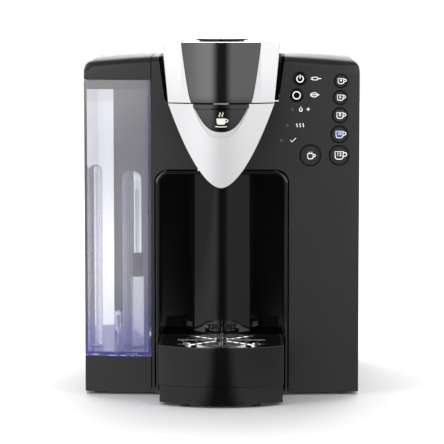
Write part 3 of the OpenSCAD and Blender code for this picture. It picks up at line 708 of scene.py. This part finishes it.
# Each satin key gets a thin dead-black ring just inside its edge: painted shade along the key's
# rounded edge.
RIM_INSET, RIM_WIDTH = 0.65, 0.9
for key in ("brew_button",) + tuple(f"cup_button_{number}" for number in range(1, 6)):
    soften(key, satin_black, 0.5)
    x, z, r = middle(key)
    rim = drawn([(arc(0, 0, r - RIM_INSET, 0, 352, 44), True)], RIM_WIDTH)
    print_on(key, key.replace("button", "rim"), rim, x, z, painted_shade_black)

x, z, r = middle("power_button")
ring = (arc(0, -0.1, 0.5 * r, 118, 422, 26), False)
bar = ([(0, 0.02 * r), (0, 0.62 * r)], False)
print_on("power_button", "power_sign", drawn([ring, bar], 0.95), x, z, white_ink_painted_glow)
x, z, r = middle("saver_button")
ring = (arc(0, 0, 0.56 * r, 0, 348, 29), True)
print_on("saver_button", "saver_sign", drawn([ring], 0.95), x, z, white_ink_painted_glow)

lit_blue = plastic("lit_sign", (0.75, 0.8, 1.0), 0.5, depth=0, mottle=0.05)
shader = lit_blue.node_tree.nodes["Principled BSDF"]
shader.inputs["Emission Color"].default_value = (0.72, 0.78, 1.0, 1)
shader.inputs["Emission Strength"].default_value = 0.45
lit_navy = plastic("lit_field", (0.03, 0.04, 0.16), 0.5, depth=0, mottle=0.05)
shader = lit_navy.node_tree.nodes["Principled BSDF"]
shader.inputs["Emission Color"].default_value = (0.05, 0.07, 0.35, 1)
shader.inputs["Emission Strength"].default_value = 0.08
for number, ounces in enumerate(("4", "6", "8", "10", "12"), 1):
    key = f"cup_button_{number}"
    x, z, r = middle(key)
    ink = lit_blue if ounces == "10" else white_ink_painted_glow
    if ounces == "10":
        field = drawn([(mug(r)[0][0], True)], 1, fill=True)
        bmesh.ops.scale(field, vec=(1, 0.4, 1), verts=field.verts)
        print_on(key, "lit_field", field, x, z, lit_navy)
    print_on(key, f"cup_sign_{number}", drawn(mug(r), 0.68 + 0.02 * number), x, z, ink)
    size = r * (0.62 if len(ounces) == 1 else 0.52)
    print_on(key, f"cup_figure_{number}", figure(ounces, size), x, z + 0.08 * r, ink)

x, z, r = middle("brew_button")
steam = [
    ([(s, 2.3), (s - 0.35, 2.9), (s + 0.35, 3.7), (s, 4.3)], False) for s in (-1.1, 1.1)
]
print_on("brew_button", "brew_sign", drawn(mug(6.2) + steam, 0.8), x, z - 0.8, white_ink_painted_glow)

# Signs on the fascia: plug and leaf by the upper keys; a drop, heat waves and a
# tick by the three lights.
plug = [
    ([(-2.6, 1.3), (1.0, 1.3)] + arc(1.0, 0, 1.3, 90, -90, 8) + [(-2.6, -1.3)], True),
    ([(-2.6, 0.7), (-4.4, 0.7)], False), ([(-2.6, -0.7), (-4.4, -0.7)], False),
    ([(2.3, 0), (5.4, 0)], False),
]
leaf = [
    (arc(0, -2.4, 4.4, 140, 40, 12)[::-1] + arc(0, 2.4, 4.4, 220, 320, 12), True),
    ([(-3.2, 0), (5, 0)], False),
]
drop = [
    ([(-5, 2.3)] + arc(-5, -0.6, 1.4, 30, -210, 14), True),
    ([(0.4, 0), (3.6, 0)], False), ([(2, 1.6), (2, -1.6)], False),
]
waves = [
    ([(s, -1.8), (s + 0.8, -0.7), (s - 0.5, 0.6), (s + 0.4, 1.8)], False) for s in (-3, 0, 3)
]
tick = [([(-2.4, 0.2), (-0.8, -1.6), (2.8, 2)], False)]
signs = (
    ("plug_sign", plug, 88.8, 303.4), ("leaf_sign", leaf, 87.6, 288.0),
    ("water_sign", drop, 80, 274.4), ("heat_sign", waves, 74.2, 259.2),
    ("ready_sign", tick, 67.6, 245),
)
for name, strokes, x, z in signs:
    print_on("front_fascia", name, drawn(strokes, LINE_WIDTH), x, z, white_ink_painted_glow)

cream_ink = plastic("cream_ink", (0.8, 0.78, 0.68), 0.55, depth=0, mottle=0.05, smudge=0.05)
bowl = [(-4.3, 1.8), (-4.0, -1.6)] + arc(-2.2, -2, 1.8, 180, 270, 5)
bowl += arc(2.2, -2, 1.8, 270, 360, 5) + [(4.0, -1.6), (4.3, 1.8)]
steam = [
    ([(s, 3.2), (s - 0.7, 4.5), (s + 0.7, 6.0), (s, 7.4)], False) for s in (-1.3, 1.3)
]
grip = ([(4.1, 0.9)] + arc(5.2, -0.3, 1.2, 90, -70, 6) + [(3.9, -1.4)], False)
saucer = ([(-5.4, -5.6), (-2, -5.9), (2, -5.9), (5.4, -5.6)], False)
for name, sign in (
    ("mug_sign", drawn([(bowl, True)], 1, fill=True)),
    ("steam_sign", drawn(steam + [grip, saucer], 0.85)),
):
    print_on("release_button", name, sign, 0, 267.6, cream_ink)


# ---------------------------------------------------------------- inside
# The pump, boiler, hoses and boards that the casing hides.
board_green = plastic("circuit_green", (0.03, 0.16, 0.07), 0.4)
dress("control_board", board_green)
dress("power_board", board_green)
for part in ("tact_switches", "boiler"):
    dress(part, needle_steel)
dress("water_pump", motor_zinc)
for part in ("pump_bracket", "boiler_bracket"):
    dress(part, nylon)
hose_silicone = plastic("hose_silicone", (0.75, 0.75, 0.72), 0.4)
dress("hoses", hose_silicone)
soften("cord_gland", black_rubber, 0.4)
